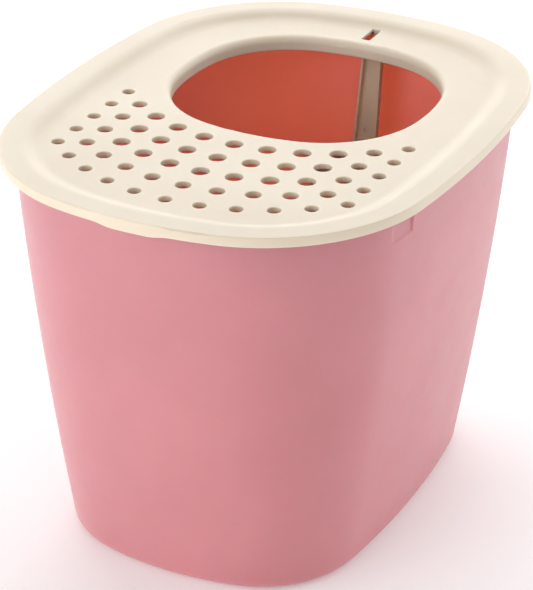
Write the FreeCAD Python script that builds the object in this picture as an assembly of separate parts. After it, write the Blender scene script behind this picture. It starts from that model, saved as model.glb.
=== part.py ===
import FreeCAD, Part
import math
import os

# Top-entry cat litter box: a tapered tub, a dished lid with an entry opening, a scoop that hangs
# under the lid, and four pads. Millimetres. The origin is on the floor under the middle of the
# lid; +Z is up, -Y is the front (litter holes), +Y the rear (entry opening) and +X the right.

V = FreeCAD.Vector
X_AXIS = V(1, 0, 0)
Z_AXIS = V(0, 0, 1)

# Overall size
LENGTH = 520.0
WIDTH = 410.0
HEIGHT = 380.0

# Lid: outline radii are the side arcs, the corner arcs and the end arcs
LID_RADII = (1020.0, 158.0, 365.0)
LID_WALL = 3.0
RIM_RISE = 6.8
RIM_BAND = 18.4
RIM_EDGE = 1.5
DISH_SLOPE = 21.6
SKIRT_HEIGHT = 8.8
DECK_Z = HEIGHT - RIM_RISE
SKIRT_Z = HEIGHT - SKIRT_HEIGHT

# Entry opening and its rolled lip
OPENING_HALF_WIDTH = 121.5
OPENING_HALF_LENGTH = 115.3
OPENING_RADII = (214.9, 96.0, 222.7)
OPENING_Y = 70.9
LIP_DEPTH = 14.4
LIP_ROLL = 6.5

# Litter holes: rows of equal arcs, largest holes nearest the opening and the centre line
HOLE_ROWS = 5
HOLE_COLUMNS = 11
ROW_RADIUS = 196.0
ROW_PITCH = 31.1
FIRST_ROW_Y = -74.0
HOLE_BEARING = math.radians(9.18)
LARGE, MEDIUM, SMALL = 16.0, 14.0, 12.0
ROW_SIZES = (LARGE, LARGE, LARGE, MEDIUM, SMALL)
HOLE_EDGE = 0.8
HOLE_DEPTH = 5.0
HOLE_COLLAR = 1.6

# Finger tab: the middle of the front skirt reaches lower
TAB_WIDTH = 72.0
TAB_FLAT = 34.0
TAB_DROP = 2.3

# Slot through the lid, with the scoop's hook below it. The hook is a J with a web behind its leg
# and, below its foot, a tongue that the hanging scoop leans on.
SLOT_WIDTH = 9.3
SLOT_LENGTH = 27.0
SLOT_Y = 212.5
SLOT_CORNER = 1.6
HOOK_WIDTH = 6.0
HOOK_WALL = 3.0
HOOK_DEPTH = 21.0
HOOK_REACH = 21.0
HOOK_TIP = 6.0
WEB_WALL = 2.0
WEB_DEPTH = 4.0
TONGUE_WALL = 2.5
TONGUE_LENGTH = 21.0
TONGUE_GAP = 0.4

# Locating rib inside the tub's mouth
RIB_INSET = 22.5
RIB_WALL = 2.0
RIB_DEPTH = 9.0

# Tub
TUB_WALL = 2.5
TUB_INSET = 13.8
BASE_Z = 1.3
BASE_HALF_LENGTH = 204.4
BASE_HALF_WIDTH = 148.5
BASE_RADII = (898.0, 100.4, 280.0)
BASE_SHIFT = -5.0
WALL_BOW = 4.0
BASE_EDGE = 10.0
FLANGE_PLAY = 0.9
LID_REST_GAP = 0.4
FLANGE_EDGE = 0.6

# Recesses in the tub's wall, one each side near the front, open upwards under the flange
RECESS_BEARING = math.radians(8.0)
RECESS_TURN = math.radians(7.0)
RECESS_WIDTH = 31.0
RECESS_DEPTH = 3.4
RECESS_REACH = 29.0
RECESS_EDGE = 1.2

# Pads pressed against shallow seats under the base
PAD_RADIUS = 12.0
PAD_THICK = 2.0
PAD_EDGE = 0.5
PAD_PLAY = 0.3
PAD_X = 92.0
PAD_Y = 140.0

# Scoop, drawn hanging straight down from its pivot and then leaned forward
PIVOT_Y = 221.5
PIVOT_GAP = 0.3
SCOOP_LEAN = 9.0
HANDLE_TOP_WIDTH = 20.0
HANDLE_FOOT_WIDTH = 25.0
HANDLE_LENGTH = 108.0
HANDLE_WALL = 2.2
FLANGE_WALL = 2.0
FLANGE_DEPTH = 5.5
HANDLE_CAP = 4.5
HANG_BAR_RADIUS = 1.6
HANG_BAR_LENGTH = 12.0
HANG_WINDOW_WIDTH = 9.0
HANG_WINDOW_LENGTH = 10.0
HANG_WINDOW_CORNER = 2.0
DIMPLE_RADIUS = 3.2
DIMPLE_DEPTH = 1.3
DIMPLE_DROP = 84.0
CROSS_RIB_DROP = 92.0
CROSS_RIB_WALL = 1.8
CROSS_RIB_HEIGHT = 1.6
BLADE_ANGLE = 5.0
BLADE_LENGTH = 122.0
BLADE_HALF_WIDTH = 52.0
BLADE_SHOULDER = 26.0
BLADE_WALL = 2.0
BLADE_DEPTH = 19.0
BLADE_LIP_DEPTH = 6.0
BLADE_CORNER = 24.0
BLADE_BULGE = 1.8
SIEVE_SLOTS = 7
SIEVE_SLOT_WIDTH = 6.4
SIEVE_PITCH = 12.4
SIEVE_START = 34.0
SIEVE_LENGTH = 72.0

# Where the arc of a blade's shoulder passes: shares of its half width and of its shoulder's length
SHOULDER_OUT = 0.72
SHOULDER_DOWN = 0.1

# Spare length that a cutting solid has past the face that it cuts, the depth to which a rib or a
# collar is sunk into the plate that carries it, and the length below which two places are one
OVER = 20.0
ROOT = 1.0
NEAR = 0.01


class Oval:
    """A closed outline of eight tangent arcs, longer along Y, that can be grown in parallel."""

    def __init__(self, half_length, half_width, radii, centre_y=0.0):
        side, corner, end = radii
        self.half_length, self.half_width = half_length, half_width
        self.radii, self.centre_y = radii, centre_y
        side_x, end_y = half_width - side, half_length - end
        apart = math.hypot(side_x, end_y)
        reach_side, reach_end = side - corner, end - corner
        along = (reach_side**2 - reach_end**2 + apart**2) / (2 * apart)
        across = math.sqrt(reach_side**2 - along**2)
        ux, uy = -side_x / apart, end_y / apart
        self.corner_x = side_x + ux * along - uy * across
        self.corner_y = uy * along + ux * across
        if self.corner_y < 0:
            self.corner_x = side_x + ux * along + uy * across
            self.corner_y = uy * along - ux * across
        self.side_x, self.end_y = side_x, end_y
        self.side_turn = math.atan2(self.corner_y, self.corner_x - side_x)
        self.end_turn = math.atan2(self.corner_y - end_y, self.corner_x)

    def grown(self, by):
        radii = tuple(r + by for r in self.radii)
        return Oval(self.half_length + by, self.half_width + by, radii, self.centre_y)

    def between(self, other, share, bow):
        """The outline part of the way to another one, grown by bow."""
        mix = lambda a, b: a + (b - a) * share + bow
        radii = tuple(mix(a, b) for a, b in zip(self.radii, other.radii))
        return Oval(
            mix(self.half_length, other.half_length),
            mix(self.half_width, other.half_width),
            radii,
            self.centre_y + (other.centre_y - self.centre_y) * share,
        )

    def arcs(self):
        """(centre, radius, start angle, end angle) of each arc, anticlockwise from the right side."""
        side, corner, end = self.radii
        s, e, half, full = self.side_turn, self.end_turn, math.pi, 2 * math.pi
        cx, cy = self.corner_x, self.corner_y
        spans = [
            ((self.side_x, 0), side, -s, s),
            ((cx, cy), corner, s, e),
            ((0, self.end_y), end, e, half - e),
            ((-cx, cy), corner, half - e, half - s),
            ((-self.side_x, 0), side, half - s, half + s),
            ((-cx, -cy), corner, half + s, half + e),
            ((0, -self.end_y), end, half + e, full - e),
            ((cx, -cy), corner, full - e, full - s),
        ]
        return [(V(x, y + self.centre_y, 0), r, a, b) for (x, y), r, a, b in spans]

    def wire(self, z):
        edges = []
        for centre, radius, start, end in self.arcs():
            circle = Part.Circle(centre + V(0, 0, z), Z_AXIS, radius)
            edges.append(Part.Arc(circle, start, end).toShape())
        return Part.Wire(edges)

    def prism(self, low, high):
        return Part.Face(self.wire(low)).extrude(V(0, 0, high - low))

    def swept(self, profile):
        """The profile carried round the outline. It is a list of (outward offset, z) points; a step
        with two points is an arc through the first to the second."""
        sectors = []
        for centre, radius, start, end in self.arcs():
            outward = V(math.cos(start), math.sin(start), 0)
            place = lambda p: centre + outward * (radius + p[0]) + V(0, 0, p[1])
            face = Part.Face(profile_wire(profile, place))
            sectors.append(face.revolve(centre, Z_AXIS, math.degrees(end - start)))
        return joined(sectors)


def profile_wire(steps, place):
    """A closed wire from a first point and then points, or (through, end) pairs for arcs."""
    here = first = place(steps[0])
    edges = []
    for step in steps[1:]:
        if isinstance(step[0], tuple):
            through, target = place(step[0]), place(step[1])
            edges.append(Part.Arc(here, through, target).toShape())
        else:
            target = place(step)
            edges.append(Part.makeLine(here, target))
        here = target
    if here.distanceToPoint(first) > NEAR:
        edges.append(Part.makeLine(here, first))
    return Part.Wire(edges)


def joined(solids):
    whole = solids[0].fuse(solids[1:]) if len(solids) > 1 else solids[0]
    return whole.removeSplitter()


def bent(centre, radius, angle):
    """A point on a circle of the profile plane, its angle in degrees from the outward direction."""
    a = math.radians(angle)
    return (centre[0] + radius * math.cos(a), centre[1] + radius * math.sin(a))


def box(x, y, z):
    """A box from three (low, high) pairs."""
    size = [high - low for low, high in (x, y, z)]
    return Part.makeBox(*size, V(x[0], y[0], z[0]))


def upright(edge):
    """Whether an edge runs parallel to the Z axis."""
    return abs(edge.tangentAt(edge.FirstParameter).z) > 1 - NEAR


def rounded_slab(width, length, corner, low, high):
    """An upright slab with rounded corners, centred on the Z axis."""
    slab = box((-width / 2, width / 2), (-length / 2, length / 2), (low, high))
    return slab.makeFillet(corner, [e for e in slab.Edges if upright(e)])


LID = Oval(LENGTH / 2, WIDTH / 2, LID_RADII)
OPENING = Oval(OPENING_HALF_LENGTH, OPENING_HALF_WIDTH, OPENING_RADII, OPENING_Y)
TUB_TOP = LID.grown(-TUB_INSET)
TUB_BASE = Oval(BASE_HALF_LENGTH, BASE_HALF_WIDTH, BASE_RADII, BASE_SHIFT)
PLATE_LOW = DECK_Z - LID_WALL
FLANGE_HIGH = HEIGHT - LID_WALL - LID_REST_GAP
FLANGE_LOW = FLANGE_HIGH - TUB_WALL
HOOK_LEG_Y = SLOT_Y + SLOT_LENGTH / 2
HOOK_FOOT_Z = DECK_Z - HOOK_DEPTH
PIVOT = V(0, PIVOT_Y, HOOK_FOOT_Z + HOOK_WALL + PIVOT_GAP + HANG_BAR_RADIUS)


# Lid


def lid_rim():
    """Skirt, flat rim band and the S-shaped slope down to the deck, as one ring."""
    half_turn = 2 * math.atan(RIM_RISE / DISH_SLOPE)
    bend = DISH_SLOPE / 2 / math.sin(half_turn)
    turn = math.degrees(half_turn)
    crest = (-RIM_BAND, HEIGHT - bend)
    hollow = (-RIM_BAND - DISH_SLOPE, DECK_Z + bend)
    edge = (-RIM_EDGE, HEIGHT - RIM_EDGE)
    inner_end = hollow[0] - LID_WALL
    return LID.swept(
        [
            (0, SKIRT_Z),
            (0, edge[1]),
            (bent(edge, RIM_EDGE, 45), (edge[0], HEIGHT)),
            (crest[0], HEIGHT),
            (bent(crest, bend, 90 + turn / 2), bent(crest, bend, 90 + turn)),
            (bent(hollow, bend, -90 + turn / 2), (hollow[0], DECK_Z)),
            (inner_end, DECK_Z),
            (inner_end, PLATE_LOW),
            (hollow[0], PLATE_LOW),
            (
                bent(hollow, bend + LID_WALL, -90 + turn / 2),
                bent(hollow, bend + LID_WALL, -90 + turn),
            ),
            (bent(crest, bend - LID_WALL, 90 + turn / 2), (crest[0], HEIGHT - LID_WALL)),
            (-LID_WALL, HEIGHT - LID_WALL),
            (-LID_WALL, SKIRT_Z),
        ]
    )


def lid_lip():
    """The rolled edge of the entry opening and the upright lip below it."""
    roll = (LIP_ROLL, DECK_Z - LIP_ROLL)
    low = DECK_Z - LIP_DEPTH
    soft = LID_WALL / 2
    return OPENING.swept(
        [
            (0, low + soft),
            (0, roll[1]),
            (bent(roll, LIP_ROLL, 135), (roll[0], DECK_Z)),
            (LIP_ROLL + LID_WALL, DECK_Z),
            (LIP_ROLL + LID_WALL, PLATE_LOW),
            (roll[0], PLATE_LOW),
            (bent(roll, LIP_ROLL - LID_WALL, 135), (LID_WALL, roll[1])),
            (LID_WALL, low + soft),
            ((soft, low), (0, low + soft)),
        ]
    )


def lid_deck():
    outer = LID.grown(-RIM_BAND - DISH_SLOPE).prism(PLATE_LOW, DECK_Z)
    return outer.cut(OPENING.grown(LIP_ROLL).prism(PLATE_LOW - OVER, DECK_Z + OVER))


def finger_tab():
    """The deeper middle of the front skirt, which runs out in an S of two arcs on each side."""
    deep, high = SKIRT_Z - TAB_DROP, HEIGHT - RIM_EDGE
    outer, inner = TAB_WIDTH / 2, TAB_FLAT / 2

    def at(share, pull=0.0):
        """A point of the run-out, its share of the way down pulled off the straight line."""
        return outer + (inner - outer) * share, SKIRT_Z - TAB_DROP * (share + pull)

    mirror = lambda point: (-point[0], point[1])
    upper_bend, lower_bend = at(0.25, -0.1), at(0.75, 0.1)
    steps = [
        mirror(at(0)),
        (mirror(upper_bend), mirror(at(0.5))),
        (mirror(lower_bend), mirror(at(1))),
        at(1),
        (lower_bend, at(0.5)),
        (upper_bend, at(0)),
        (outer, high),
        (-outer, high),
    ]
    front = Part.Face(profile_wire(steps, lambda p: V(p[0], -LENGTH / 2 - OVER, p[1])))
    skirt = LID.prism(deep, high).cut(LID.grown(-LID_WALL).prism(deep - OVER, HEIGHT))
    return skirt.common(front.extrude(V(0, 2 * OVER, 0)))


def hole_places():
    """(x, y, diameter) of every litter hole."""
    middle = HOLE_COLUMNS // 2
    for row in range(HOLE_ROWS):
        for column in range(-middle, middle + 1):
            bearing = HOLE_BEARING * column
            x = ROW_RADIUS * math.sin(bearing)
            y = FIRST_ROW_Y + ROW_RADIUS * (1 - math.cos(bearing)) - ROW_PITCH * row
            column_size = {middle: SMALL, middle - 1: MEDIUM}.get(abs(column), LARGE)
            yield x, y, min(column_size, ROW_SIZES[row])


def hole_collar(x, y, diameter):
    """The short collar below the deck that deepens a hole."""
    low = DECK_Z - HOLE_DEPTH
    return Part.makeCylinder(diameter / 2 + HOLE_COLLAR, PLATE_LOW + ROOT - low, V(x, y, low))


def hole_cutter(x, y, diameter):
    """A round cutter whose upper end flares by the hole's edge radius."""
    radius = diameter / 2
    edge = (radius + HOLE_EDGE, DECK_Z - HOLE_EDGE)
    steps = [
        (0, PLATE_LOW - OVER),
        (radius, PLATE_LOW - OVER),
        (radius, edge[1]),
        (bent(edge, HOLE_EDGE, 135), (edge[0], DECK_Z)),
        (edge[0], DECK_Z + OVER),
        (0, DECK_Z + OVER),
    ]
    face = Part.Face(profile_wire(steps, lambda p: V(x + p[0], y, p[1])))
    return face.revolve(V(x, y, 0), Z_AXIS, 360)


def hook():
    """The J: leg behind, foot forwards and an upturned tip, with its web and its tongue."""
    across = (-HOOK_WIDTH / 2, HOOK_WIDTH / 2)
    back, front = HOOK_LEG_Y + HOOK_WALL, HOOK_LEG_Y + HOOK_WALL - HOOK_REACH
    tip_z, top = HOOK_FOOT_Z + HOOK_TIP, PLATE_LOW + ROOT
    leg = box(across, (HOOK_LEG_Y, back), (HOOK_FOOT_Z, top))
    foot = box(across, (front, back), (HOOK_FOOT_Z, HOOK_FOOT_Z + HOOK_WALL))
    tip = box(across, (front, front + HOOK_WALL), (HOOK_FOOT_Z, tip_z))
    web = box((-WEB_WALL / 2, WEB_WALL / 2), (back - ROOT, back + WEB_DEPTH), (tip_z, top))
    lean_on = HANDLE_WALL / 2 + TONGUE_GAP
    foot_middle = HANG_BAR_RADIUS + PIVOT_GAP + HOOK_WALL / 2
    tongue = box(across, (lean_on, lean_on + TONGUE_WALL), (-TONGUE_LENGTH, -foot_middle))
    tongue.rotate(V(0, 0, 0), X_AXIS, -SCOOP_LEAN)
    tongue.translate(PIVOT)
    return [leg, foot, tip, web, tongue]


def make_lid():
    rib = LID.grown(-RIB_INSET).prism(DECK_Z - RIB_DEPTH, HEIGHT - LID_WALL)
    rib = rib.cut(LID.grown(-RIB_INSET - RIB_WALL).prism(0, HEIGHT))
    collars = [hole_collar(*place) for place in hole_places()]
    parts = [lid_rim(), lid_deck(), lid_lip(), rib, finger_tab(), *collars]
    slot = rounded_slab(SLOT_WIDTH, SLOT_LENGTH, SLOT_CORNER, DECK_Z - OVER, DECK_Z + OVER)
    slot.translate(V(0, SLOT_Y, 0))
    cutters = [hole_cutter(*place) for place in hole_places()]
    shell = joined(parts).cut([slot, *cutters])
    return joined([shell, *hook()])


# Tub


def tub_body(inset, floor_z, edge):
    """The tub's outer shape or, with an inset, its inside: bowed and tapered walls on a flat floor."""
    top, base = TUB_TOP.grown(-inset), TUB_BASE.grown(-inset)
    middle_z = (SKIRT_Z + BASE_Z) / 2
    sections = [
        top.wire(SKIRT_Z),
        top.between(base, 0.5, WALL_BOW).wire(middle_z),
        base.wire(BASE_Z),
    ]
    wall = Part.makeLoft(sections, True, False)
    wall = wall.common(box((-WIDTH, WIDTH), (-LENGTH, LENGTH), (floor_z, HEIGHT)))
    floor_edges = [e for e in wall.Edges if e.BoundBox.ZMax < floor_z + NEAR]
    wall = wall.makeFillet(edge, floor_edges)
    return wall.fuse(top.prism(SKIRT_Z, FLANGE_HIGH)).removeSplitter()


def recess(side, spare):
    """The block that forms a wall recess, grown by spare on all the faces inside the wall."""
    _, radius, _, _ = TUB_TOP.arcs()[-1]
    out = V(math.cos(RECESS_BEARING), -math.sin(RECESS_BEARING), 0)
    middle = V(TUB_TOP.corner_x, -TUB_TOP.corner_y, 0) + out * radius
    block = box(
        (-RECESS_DEPTH - spare, OVER),
        (-RECESS_WIDTH / 2 - spare, RECESS_WIDTH / 2 + spare),
        (SKIRT_Z - RECESS_REACH - spare, FLANGE_LOW + spare),
    )
    inner = [e for e in block.Edges if upright(e) and e.BoundBox.XMax < 0]
    block = block.makeFillet(RECESS_EDGE + spare, inner)
    block.rotate(V(0, 0, 0), Z_AXIS, -math.degrees(RECESS_TURN))
    block.translate(middle)
    return block if side > 0 else block.mirror(V(0, 0, 0), X_AXIS)


def pad_places():
    for end, y in (("front", -PAD_Y), ("rear", PAD_Y)):
        for side, x in (("left", -PAD_X), ("right", PAD_X)):
            yield f"foot_{end}_{side}", x, y + BASE_SHIFT


def make_tub():
    outer = tub_body(0, BASE_Z, BASE_EDGE)
    inside = tub_body(TUB_WALL, BASE_Z + TUB_WALL, BASE_EDGE - TUB_WALL)
    flange = LID.grown(-LID_WALL - FLANGE_PLAY).prism(FLANGE_LOW, FLANGE_HIGH)
    flange = flange.makeFillet(FLANGE_EDGE, [e for e in flange.Edges if not upright(e)])
    for side in (-1, 1):
        outer = outer.cut(recess(side, 0))
        inside = inside.cut(recess(side, TUB_WALL))
    seats = []
    for _, x, y in pad_places():
        depth = PAD_THICK - BASE_Z
        seats.append(Part.makeCylinder(PAD_RADIUS + PAD_PLAY, 2 * depth, V(x, y, BASE_Z - depth)))
    return outer.fuse(flange).cut([inside, *seats]).removeSplitter()


def make_pad(x, y):
    pad = Part.makeCylinder(PAD_RADIUS, PAD_THICK, V(x, y, 0))
    lower = [e for e in pad.Edges if e.BoundBox.ZMax < NEAR]
    return pad.makeFillet(PAD_EDGE, lower)


# Scoop, in its own frame: the pivot is at the origin, the handle runs down -Z and -Y is its front


def handle_outline(grow, drop):
    """The handle seen from the front: a round top, then slightly widening sides."""
    top, foot = HANDLE_TOP_WIDTH / 2 + grow, HANDLE_FOOT_WIDTH / 2 + grow
    low = -HANDLE_LENGTH - drop
    return [(-top, 0), ((0, HANDLE_CAP + grow), (top, 0)), (foot, low), (-foot, low)]


def front_plate(steps, back, front):
    """An outline in X and Z made into a plate between two depths, front being the lower Y."""
    face = Part.Face(profile_wire(steps, lambda p: V(p[0], back, p[1])))
    return face.extrude(V(0, front - back, 0))


def scoop_handle():
    """A channel, open to the front, with a round bar over the window that the hook goes through."""
    half = HANDLE_WALL / 2
    block = front_plate(handle_outline(0, BLADE_WALL), half, -FLANGE_DEPTH)
    channel = front_plate(handle_outline(-FLANGE_WALL, OVER), -half, -FLANGE_DEPTH - OVER)
    handle = block.cut(channel)
    window = rounded_slab(
        HANG_WINDOW_WIDTH, 2 * HANG_WINDOW_LENGTH, HANG_WINDOW_CORNER, -OVER, OVER
    )
    window.rotate(V(0, 0, 0), X_AXIS, 90)
    window = window.common(box((-OVER, OVER), (-OVER, OVER), (-OVER, 0)))
    dimple_floor = V(0, DIMPLE_DEPTH - half, -DIMPLE_DROP)
    dimple = Part.makeCylinder(DIMPLE_RADIUS, OVER, dimple_floor, V(0, -1, 0))
    bar = Part.makeCylinder(HANG_BAR_RADIUS, HANG_BAR_LENGTH, V(-HANG_BAR_LENGTH / 2, 0, 0), X_AXIS)
    rib_reach = HANDLE_FOOT_WIDTH / 2 - FLANGE_WALL / 2
    rib = box(
        (-rib_reach, rib_reach),
        (-half - CROSS_RIB_HEIGHT, half),
        (-CROSS_RIB_DROP - CROSS_RIB_WALL, -CROSS_RIB_DROP),
    )
    return handle.cut([window, dimple]).fuse([rib, bar])


def blade_outline(inset):
    """The blade's plan, from its shoulders at the handle to its softly curved front edge."""
    half = BLADE_HALF_WIDTH - inset
    neck = HANDLE_FOOT_WIDTH / 2 - inset
    corner = (BLADE_HALF_WIDTH - BLADE_CORNER, BLADE_BULGE + BLADE_CORNER - BLADE_LENGTH)
    radius = BLADE_CORNER - inset
    turn = bent(corner, radius, -45)
    tip = (corner[0], corner[1] - radius)
    middle = (SHOULDER_OUT * half, -inset - SHOULDER_DOWN * BLADE_SHOULDER)
    mirror = lambda point: (-point[0], point[1])
    return [
        (neck, -inset),
        (middle, (half, -BLADE_SHOULDER)),
        (half, corner[1]),
        (turn, tip),
        ((0, inset - BLADE_LENGTH), mirror(tip)),
        (mirror(turn), (-half, corner[1])),
        (-half, -BLADE_SHOULDER),
        (mirror(middle), (-neck, -inset)),
    ]


def scoop_blade():
    """A slotted tray, deep at the handle and shallow at its front edge, open to the front."""
    back = HANDLE_WALL / 2
    tray = front_plate(blade_outline(0), back, back - BLADE_DEPTH)
    hollow = front_plate(blade_outline(BLADE_WALL), back - BLADE_WALL, back - BLADE_DEPTH - OVER)
    tray = tray.cut(hollow)
    slope_start, slope_end = -BLADE_SHOULDER, -BLADE_LENGTH - OVER
    shallow = back - BLADE_LIP_DEPTH
    steps = [
        (back - BLADE_DEPTH, slope_start),
        (shallow, -BLADE_LENGTH + BLADE_CORNER),
        (shallow, slope_end),
        (-BLADE_DEPTH - OVER, slope_end),
        (-BLADE_DEPTH - OVER, slope_start),
    ]
    side = Part.Face(profile_wire(steps, lambda p: V(-BLADE_HALF_WIDTH - OVER, p[0], p[1])))
    tray = tray.cut(side.extrude(V(2 * (BLADE_HALF_WIDTH + OVER), 0, 0)))
    slots = []
    for k in range(SIEVE_SLOTS):
        x = (k - (SIEVE_SLOTS - 1) / 2) * SIEVE_PITCH
        corner = SIEVE_SLOT_WIDTH / 2 - NEAR
        slot = rounded_slab(SIEVE_SLOT_WIDTH, SIEVE_LENGTH, corner, -OVER, OVER)
        slot.rotate(V(0, 0, 0), X_AXIS, 90)
        slot.translate(V(x, 0, -SIEVE_START - SIEVE_LENGTH / 2))
        slots.append(slot)
    tray = tray.cut(slots)
    tray.rotate(V(0, 0, 0), X_AXIS, BLADE_ANGLE)
    tray.translate(V(0, 0, -HANDLE_LENGTH))
    return tray


def make_scoop():
    scoop = joined([scoop_handle(), scoop_blade()])
    scoop.rotate(V(0, 0, 0), X_AXIS, -SCOOP_LEAN)
    scoop.translate(PIVOT)
    return scoop


def save(name, shape):
    solids = shape.Solids
    assert shape.isValid() and len(solids) == 1, f"{name}: {len(solids)} solids"
    solids[0].exportStep(os.path.join("parts", name + ".step"))
    print(f"{name}: {solids[0].Volume / 1000:.1f} cm3")


os.makedirs("parts", exist_ok=True)
save("tub", make_tub())
save("lid", make_lid())
save("scoop", make_scoop())
for pad_name, pad_x, pad_y in pad_places():
    save(pad_name, make_pad(pad_x, pad_y))
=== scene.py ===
import math

import bmesh
import bpy
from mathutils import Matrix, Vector


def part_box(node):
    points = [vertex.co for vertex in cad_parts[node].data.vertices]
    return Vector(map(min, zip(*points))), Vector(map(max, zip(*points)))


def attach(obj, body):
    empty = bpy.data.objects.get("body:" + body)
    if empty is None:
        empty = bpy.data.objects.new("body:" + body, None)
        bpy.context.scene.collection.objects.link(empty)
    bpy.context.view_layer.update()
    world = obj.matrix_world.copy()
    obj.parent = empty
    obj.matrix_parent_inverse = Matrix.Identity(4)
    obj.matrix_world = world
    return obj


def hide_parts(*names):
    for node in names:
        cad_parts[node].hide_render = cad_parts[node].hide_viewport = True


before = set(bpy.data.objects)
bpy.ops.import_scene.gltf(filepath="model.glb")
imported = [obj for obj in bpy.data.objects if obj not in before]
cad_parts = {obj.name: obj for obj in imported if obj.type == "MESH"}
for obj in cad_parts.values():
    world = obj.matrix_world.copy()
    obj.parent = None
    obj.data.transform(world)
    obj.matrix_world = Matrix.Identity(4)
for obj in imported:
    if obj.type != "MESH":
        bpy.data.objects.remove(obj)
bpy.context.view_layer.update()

MM = 0.001

# Colours of the plastics, the pads and the floor, linear light
TUB_PINK = (0.70, 0.28, 0.31, 1.0)
LID_CREAM = (0.857, 0.747, 0.603, 1.0)
SCOOP_TAN = (0.89, 0.71, 0.52, 1.0)
PAD_GREY = (0.35, 0.33, 0.32, 1.0)
FLOOR_SHADES = ((0.93, 0.93, 0.93, 1.0), (0.95, 0.95, 0.95, 1.0))

# A noise texture's values nearly all lie between NOISE_LOW and NOISE_HIGH. The lighter of two shades
# takes over from the darker one between RAMP_LOW and RAMP_HIGH
NOISE_LOW, NOISE_HIGH = 0.3, 0.7
RAMP_LOW, RAMP_HIGH = 0.35, 0.65

# Moulded surfaces: how often each changes along a metre, then by how much
SHADE_SCALE, GLOSS_SCALE, WAVE_SCALE, GRAIN_SCALE = 9.0, 35.0, 14.0, 2600.0
SHADE_DARK, SHADE_LIGHT = 0.965, 1.03
GLOSS_LESS, GLOSS_MORE = 0.05, 0.04
WAVE_STRENGTH, WAVE_DEPTH = 0.08, 2.0 * MM
GRAIN_STRENGTH, GRAIN_DEPTH = 0.12, 0.1 * MM


class Nodes:
    """Builds one node material, in object coordinates."""

    def __init__(self, name):
        self.material = bpy.data.materials.new(name)
        self.material.use_nodes = True
        self.tree = self.material.node_tree
        self.shader = self.tree.nodes["Principled BSDF"]
        self.place = self.add("ShaderNodeTexCoord").outputs["Object"]

    def add(self, kind, **values):
        """A new node with some of its inputs set."""
        node = self.tree.nodes.new(kind)
        for name, value in values.items():
            node.inputs[name].default_value = value
        return node

    def link(self, source, target):
        self.tree.links.new(source, target)

    def noise(self, scale, detail=3.0):
        node = self.add("ShaderNodeTexNoise", Scale=scale, Detail=detail)
        self.link(self.place, node.inputs["Vector"])
        return node.outputs["Fac"]

    def ramp(self, source, low, high):
        """A colour between low and high."""
        node = self.add("ShaderNodeValToRGB")
        node.color_ramp.elements[0].position = RAMP_LOW
        node.color_ramp.elements[1].position = RAMP_HIGH
        node.color_ramp.elements[0].color = low
        node.color_ramp.elements[1].color = high
        self.link(source, node.inputs["Fac"])
        return node.outputs["Color"]

    def span(self, source, low, high):
        """A number between low and high."""
        node = self.add("ShaderNodeMapRange")
        node.inputs["From Min"].default_value = NOISE_LOW
        node.inputs["From Max"].default_value = NOISE_HIGH
        node.inputs["To Min"].default_value = low
        node.inputs["To Max"].default_value = high
        self.link(source, node.inputs["Value"])
        return node.outputs["Result"]

    def bump(self, source, strength, distance, below=None):
        """A relief, laid over another one if below is given."""
        node = self.add("ShaderNodeBump", Strength=strength, Distance=distance)
        self.link(source, node.inputs["Height"])
        if below is not None:
            self.link(below, node.inputs["Normal"])
        return node.outputs["Normal"]


def tinted(colour, factor):
    """A colour made lighter or darker by a factor."""
    return tuple(min(1.0, c * factor) for c in colour[:3]) + (1.0,)


def moulded(name, colour, roughness, scatter, depths):
    """A satin plastic. Scatter is its milky share, depths how many mm red, green and blue travel."""
    m = Nodes(name)
    dark, light = tinted(colour, SHADE_DARK), tinted(colour, SHADE_LIGHT)
    shade = m.ramp(m.noise(SHADE_SCALE, 4.0), dark, light)
    gloss = m.span(m.noise(GLOSS_SCALE, 5.0), roughness - GLOSS_MORE, roughness + GLOSS_LESS)
    waves = m.bump(m.noise(WAVE_SCALE, 2.0), WAVE_STRENGTH, WAVE_DEPTH)
    grain = m.bump(m.noise(GRAIN_SCALE, 2.0), GRAIN_STRENGTH, GRAIN_DEPTH, waves)
    m.link(shade, m.shader.inputs["Base Color"])
    m.link(gloss, m.shader.inputs["Roughness"])
    m.link(grain, m.shader.inputs["Normal"])
    m.shader.inputs["IOR"].default_value = 1.49
    m.shader.inputs["Subsurface Weight"].default_value = scatter
    m.shader.inputs["Subsurface Radius"].default_value = depths
    m.shader.inputs["Subsurface Scale"].default_value = MM
    return m.material


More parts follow.
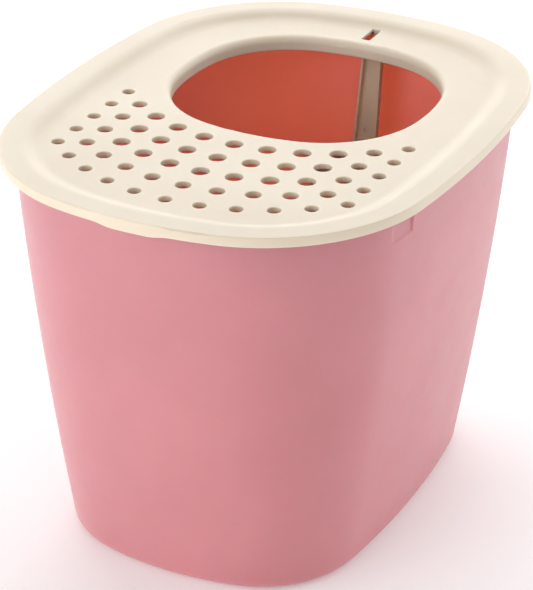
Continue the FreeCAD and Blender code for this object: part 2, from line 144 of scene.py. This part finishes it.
class Oval:
    """A closed outline of eight tangent arcs, longer along Y, in millimetres."""

    def __init__(self, half_length, half_width, radii, centre_y=0.0):
        side, corner, end = radii
        self.radii, self.centre_y = radii, centre_y
        self.side_x, self.end_y = half_width - side, half_length - end
        apart = math.hypot(self.side_x, self.end_y)
        along = ((side - corner) ** 2 - (end - corner) ** 2 + apart**2) / (2 * apart)
        across = math.sqrt((side - corner) ** 2 - along**2)
        ux, uy = -self.side_x / apart, self.end_y / apart
        centres = []
        for k in (1, -1):
            centre_x = self.side_x + ux * along - k * uy * across
            centres.append((centre_x, uy * along + k * ux * across))
        self.corner_x, self.corner_y = max(centres, key=lambda p: p[1])
        self.side_turn = math.atan2(self.corner_y, self.corner_x - self.side_x)
        self.end_turn = math.atan2(self.corner_y - self.end_y, self.corner_x)

    def arcs(self):
        """(centre x, centre y, radius, start, end) of each arc, anticlockwise from the right side."""
        side, corner, end = self.radii
        s, e, half, full = self.side_turn, self.end_turn, math.pi, 2 * math.pi
        x, y = self.corner_x, self.corner_y
        return [
            (self.side_x, 0, side, -s, s),
            (x, y, corner, s, e),
            (0, self.end_y, end, e, half - e),
            (-x, y, corner, half - e, half - s),
            (-self.side_x, 0, side, half - s, half + s),
            (-x, -y, corner, half + s, half + e),
            (0, -self.end_y, end, half + e, full - e),
            (x, -y, corner, full - e, full - s),
        ]

    def spot(self, arc, share):
        """(x, y, outward x, outward y) at a share of the way along one arc."""
        x, y, radius, start, end = self.arcs()[arc]
        angle = start + (end - start) * share
        c, s = math.cos(angle), math.sin(angle)
        return x + radius * c, y + radius * s + self.centre_y, c, s


lid_low, lid_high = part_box("lid")
tub_low, tub_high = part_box("tub")

# The tub's shell, millimetres: outlines, walls and flange
LID_HALF_LENGTH = (lid_high.y - lid_low.y) / 2 / MM
LID_HALF_WIDTH = (lid_high.x - lid_low.x) / 2 / MM
LID = Oval(LID_HALF_LENGTH, LID_HALF_WIDTH, (1020.0, 158.0, 365.0))
TUB_BASE = Oval(204.4, 148.5, (898.0, 100.4, 280.0), -5.0)
TUB_INSET = 13.8
TUB_WALL = 2.5
SKIRT_Z = 371.2
BASE_Z = tub_low.z / MM
WALL_BOW = 4.0
FLANGE_INSET = 3.9
FLANGE_HIGH = tub_high.z / MM
FLANGE_LOW = FLANGE_HIGH - TUB_WALL
FLANGE_EDGE = 0.6
BASE_EDGE = 10.0

# The finger recess in each side wall: its bearing from the middle of the front corner's arc, the turn
# of its floor, then its size, reaching down from the lid's skirt
RECESS_BEARING = math.radians(8.0)
RECESS_TURN = math.radians(7.0)
RECESS_WIDTH = 31.0
RECESS_DEPTH = 3.4
RECESS_REACH = 29.0
# Its edges blend this far to either side, and its floor turns into the wall over RECESS_SOFT
RECESS_BLEND = 1.3
RECESS_SOFT = 0.25
# Wall points this far behind its floor are left alone
RECESS_CLEAR = 2.0

# The mesh's upright lines: the spacing of candidates and the fewest of them in an arc, then how many
# steps lie between those kept, within LINE_NEAR of a recess's edge and elsewhere
LINE_SPACING = 0.45
LINES_LEAST = 16
LINE_STEP_NEAR, LINE_STEP_FAR = 2, 14
LINE_NEAR = 2.2

# Spacing of the wall's rings: at a recess's lower edge, above it and below it
RING_FINE, RING_MIDDLE, RING_COARSE = 0.45, 2.5, 9.0
# The fine rings go on this far below the edge on the wall's inside, a wall's thickness lower
RING_MARGIN = 1.5
# No ring lies nearer than this to the rounded foot
RING_LAST = 8.0

# Bevels where the wall meets the flange's top and underside
BEVEL, BEVEL_UNDER = 0.3, 0.4
# How far from the mouth and the rounded rim a ring lies that keeps the flange's faces flat
HOLD_MOUTH, HOLD_RIM = 1.0, 1.5
ROUND_STEPS = 3
FLOOR_SHARES = (0.98, 0.8, 0.6, 0.4, 0.2)


def columns():
    """(arc, share) of each upright line of the tub, close together at the recesses' edges."""
    recess = recess_frame(1)
    spots = []
    for arc, (_, _, radius, start, end) in enumerate(LID.arcs()):
        fine = max(LINES_LEAST, int(radius * (end - start) / LINE_SPACING))
        for k in range(fine):
            x, y, c, s = LID.spot(arc, k / fine)
            along = recess_place(recess, abs(x) - TUB_INSET * abs(c), y - TUB_INSET * s)[0]
            edge = abs(along) - RECESS_WIDTH / 2
            near = y < 0 and min(abs(edge), abs(edge - TUB_WALL)) < LINE_NEAR
            if k % (LINE_STEP_NEAR if near else LINE_STEP_FAR) == 0:
                spots.append((arc, k / fine))
    return spots


def recess_frame(side):
    """(middle, outward, along) of the wall recess on one side, in plan."""
    x, y, radius, _, _ = LID.arcs()[-1]
    radius -= TUB_INSET
    middle = (x + radius * math.cos(RECESS_BEARING), y - radius * math.sin(RECESS_BEARING))
    outward = (math.cos(RECESS_TURN), -math.sin(RECESS_TURN))
    along = (math.sin(RECESS_TURN), math.cos(RECESS_TURN))
    return [(side * px, py) for px, py in (middle, outward, along)]


def recess_place(recess, x, y):
    """How far a point is along the recess and outside the plane of its floor."""
    (mx, my), (ox, oy), (ax, ay) = recess
    dx, dy = x - mx, y - my
    return dx * ax + dy * ay, dx * ox + dy * oy + RECESS_DEPTH


def eased(distance):
    """0 outside an edge, 1 inside it, blending over the rounding of the recess's edges."""
    share = min(1, max(0, distance / RECESS_BLEND / 2 + 0.5))
    return share * share * (3 - 2 * share)


def recessed(x, y, z, spare):
    """A wall point pressed back to the floor of the recess that it lies in, if any."""
    recess = recess_frame(1 if x > 0 else -1)
    along, out = recess_place(recess, x, y)
    out += spare
    if y > 0 or out < -RECESS_CLEAR:
        return x, y
    share = eased(RECESS_WIDTH / 2 + spare - abs(along))
    share *= eased(z - SKIRT_Z + RECESS_REACH + spare)
    press = share * (out + math.hypot(out, RECESS_SOFT)) / 2
    return x - press * recess[1][0], y - press * recess[1][1]


def wall_point(spot, z, inset):
    """A point of the tub's bowed and tapered wall, moved inwards by inset."""
    arc, share = spot
    x, y, c, s = LID.spot(arc, share)
    down = min(1, max(0, (SKIRT_Z - z) / (SKIRT_Z - BASE_Z)))
    bx, by, _, _ = TUB_BASE.spot(arc, share)
    bow = 4 * WALL_BOW * down * (1 - down) - inset
    x, y = x - TUB_INSET * c, y - TUB_INSET * s
    return x + (bx - x) * down + bow * c, y + (by - y) * down + bow * s


def wall_levels(low):
    """Heights of the wall's rings from the top down, close together at the recesses' lower edges."""
    levels = [FLANGE_LOW - BEVEL, SKIRT_Z]
    z = SKIRT_Z - RING_MIDDLE
    while z > low + RING_LAST:
        levels.append(z)
        below = SKIRT_Z - z - RECESS_REACH
        if below >= TUB_WALL + RING_MARGIN:
            z -= RING_COARSE
        elif below > -RING_MIDDLE:
            z -= RING_FINE
        else:
            z -= RING_MIDDLE
    return levels


def lid_ring(spots, inset, z):
    """A level ring that follows the lid's outline, moved inwards by inset."""
    ring = []
    for arc, share in spots:
        x, y, c, s = LID.spot(arc, share)
        ring.append((x - inset * c, y - inset * s, z))
    return ring


def wall_ring(spots, z, inset):
    """A level ring of the tub's wall with its recesses, moved inwards by inset."""
    return [(*recessed(*wall_point(spot, z, inset), z, inset), z) for spot in spots]


def floor_rings(spots, floor_z, edge, inset):
    """The rounded edge between wall and floor, as rings from the wall down."""
    rings = []
    steps = 7
    probe = 2.0
    for k in range(steps + 1):
        ring = []
        for spot in spots:
            _, _, c, s = LID.spot(*spot)
            low = wall_point(spot, floor_z, inset)
            high = wall_point(spot, floor_z + probe, inset)
            rise = ((high[0] - low[0]) * c + (high[1] - low[1]) * s) / probe
            tilt = math.atan(rise)
            a = -tilt - (math.pi / 2 - tilt) * k / steps
            out = -edge / math.cos(tilt) + edge * rise + edge * math.cos(a)
            ring.append((low[0] + out * c, low[1] + out * s, floor_z + edge + edge * math.sin(a)))
        rings.append(ring)
    return rings


def plate_rings(rim, shares):
    """Rings that shrink towards the middle of a flat floor."""
    return [[(x * f, y * f, z) for x, y, z in rim] for f in shares]


def stitched(name, rings):
    """A closed mesh of quads between rings of equal count, with a fan over the first and the last."""
    count = len(rings[0])
    points = [p for ring in rings for p in ring]
    faces = []
    for k in range(len(rings) - 1):
        for i in range(count):
            j = (i + 1) % count
            faces.append((k * count + i, k * count + j, (k + 1) * count + j, (k + 1) * count + i))
    for k in (0, len(rings) - 1):
        first = k * count
        points.append((0.0, 0.0, rings[k][0][2]))
        faces += [(len(points) - 1, first + i, first + (i + 1) % count) for i in range(count)]
    mesh = bpy.data.meshes.new(name)
    mesh.from_pydata([[v * MM for v in p] for p in points], [], faces)
    shell = bmesh.new()
    shell.from_mesh(mesh)
    bmesh.ops.recalc_face_normals(shell, faces=shell.faces)
    shell.to_mesh(mesh)
    shell.free()
    mesh.shade_smooth()
    piece = bpy.data.objects.new(name, mesh)
    bpy.context.collection.objects.link(piece)
    return piece


def tub_shell():
    """The whole tub as one skin: underside, outer wall, flange, inner wall and floor."""
    spots = columns()
    under = floor_rings(spots, BASE_Z, BASE_EDGE, 0.0)
    inside = floor_rings(spots, BASE_Z + TUB_WALL, BASE_EDGE - TUB_WALL, TUB_WALL)
    outer = [wall_ring(spots, z, 0.0) for z in wall_levels(BASE_Z + BASE_EDGE)]
    inner = [wall_ring(spots, z, TUB_WALL) for z in wall_levels(BASE_Z + BASE_EDGE)]
    e = FLANGE_EDGE
    rim = FLANGE_INSET + e
    flange = [(TUB_INSET - BEVEL_UNDER, FLANGE_LOW), (rim + HOLD_RIM, FLANGE_LOW), (rim, FLANGE_LOW)]
    for middle_z, start in ((FLANGE_LOW + e, -90), (FLANGE_HIGH - e, 0)):
        for k in range(ROUND_STEPS + 1):
            a = math.radians(start + 90 * k / ROUND_STEPS)
            flange.append((rim - e * math.cos(a), middle_z + e * math.sin(a)))
    mouth = TUB_INSET + TUB_WALL
    for inset in (rim + HOLD_RIM, mouth - HOLD_MOUTH, mouth - BEVEL):
        flange.append((inset, FLANGE_HIGH))
    rings = plate_rings(under[-1], FLOOR_SHARES)[::-1] + under[::-1] + outer[::-1]
    rings += [lid_ring(spots, inset, z) for inset, z in flange]
    rings.append(wall_ring(spots, FLANGE_HIGH - BEVEL, TUB_WALL))
    rings += inner + inside + plate_rings(inside[-1], FLOOR_SHARES)
    return stitched("tub_shell", rings)


# Materials: the tub's wall lets the most light through
finishes = {
    "tub": moulded("tub_moulded_pink", TUB_PINK, 0.36, 1.0, (8.8, 7.0, 5.0)),
    "lid": moulded("lid_moulded_cream", LID_CREAM, 0.40, 0.7, (4.0, 3.4, 2.8)),
    "scoop": moulded("scoop_moulded_tan", SCOOP_TAN, 0.42, 0.8, (4.0, 3.2, 2.4)),
}
pad_rubber = moulded("pad_rubber", PAD_GREY, 0.7, 0.0, (1.0, 1.0, 1.0))
for node_name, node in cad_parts.items():
    for slot in node.material_slots:
        slot.material = finishes.get(node_name, pad_rubber)

tub = tub_shell()
tub.data.materials.append(finishes["tub"])
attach(tub, "tub")
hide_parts("tub")

# Floor
floor_mesh = bpy.data.meshes.new("floor")
reach = 6.0
corners = [(-reach, -reach, 0), (reach, -reach, 0), (reach, reach, 0), (-reach, reach, 0)]
floor_mesh.from_pydata(corners, [], [(0, 1, 2, 3)])
floor = bpy.data.objects.new("floor", floor_mesh)
bpy.context.collection.objects.link(floor)
paint = Nodes("floor_paint")
paint.link(paint.ramp(paint.noise(3.0), *FLOOR_SHADES), paint.shader.inputs["Base Color"])
paint.shader.inputs["Roughness"].default_value = 0.9
paint.shader.inputs["Specular IOR Level"].default_value = 0.1
paint.shader.inputs["Emission Color"].default_value = (1.0, 1.0, 1.0, 1.0)
paint.shader.inputs["Emission Strength"].default_value = 0.16
floor_mesh.materials.append(paint.material)

# World and lights
scene = bpy.context.scene
world = bpy.data.worlds.new("studio")
scene.world = world
world.use_nodes = True
world.node_tree.nodes["Background"].inputs["Color"].default_value = (1.0, 1.0, 1.0, 1.0)
world.node_tree.nodes["Background"].inputs["Strength"].default_value = 0.42

CAMERA_TURN = math.radians(26.78)
CAMERA_RISE = math.radians(23.68)
LIGHTS_AIM = Vector((0, 0, 0.2))


def away(turn, rise):
    """The direction out of the object at a turn from its front and a rise above the floor."""
    level = math.cos(rise)
    return Vector((math.sin(turn) * level, -math.cos(turn) * level, math.sin(rise)))


def softbox(name, turn, rise, distance, width, height, power):
    """A large area light aimed at the object, its turn counted from the camera's own side."""
    back = away(CAMERA_TURN + math.radians(turn), math.radians(rise))
    light = bpy.data.lights.new(name, "AREA")
    light.shape = "RECTANGLE"
    light.size = width
    light.size_y = height
    light.energy = power
    lamp = bpy.data.objects.new(name, light)
    lamp.location = LIGHTS_AIM + back * distance
    lamp.rotation_euler = back.to_track_quat("Z", "Y").to_euler()
    bpy.context.collection.objects.link(lamp)


softbox("key_left", -58, 13, 2.3, 2.0, 2.0, 29)
softbox("rear_top", 180, 49, 2.6, 3.0, 2.0, 35)
softbox("rear_low", 180, 12, 2.6, 3.4, 1.0, 24)
softbox("rear_right", 108, 18, 2.4, 1.6, 2.2, 18)
softbox("front_fill", 20, 10, 2.4, 1.2, 1.6, 3)

# Camera: it stands off from the middle of the lid's deck, which lies RIM_RISE below the lid's rim,
# and aims well below it
RIM_RISE = 0.0068
CAMERA_DISTANCE = 2.15437
AIM_ASIDE = -0.00516
AIM_DROP = 0.1851
deck = Vector((0, 0, lid_high.z - RIM_RISE))
side = Vector((math.cos(CAMERA_TURN), math.sin(CAMERA_TURN), 0))
camera_data = bpy.data.cameras.new("camera")
camera_data.lens = 145.47
camera_data.sensor_width = 36.0
camera_data.clip_end = 50.0
camera = bpy.data.objects.new("camera", camera_data)
camera.location = deck + away(CAMERA_TURN, CAMERA_RISE) * CAMERA_DISTANCE
target = deck + side * AIM_ASIDE - Vector((0, 0, AIM_DROP))
camera.rotation_euler = (camera.location - target).to_track_quat("Z", "Y").to_euler()
bpy.context.collection.objects.link(camera)
scene.camera = camera
scene.view_settings.view_transform = "Standard"
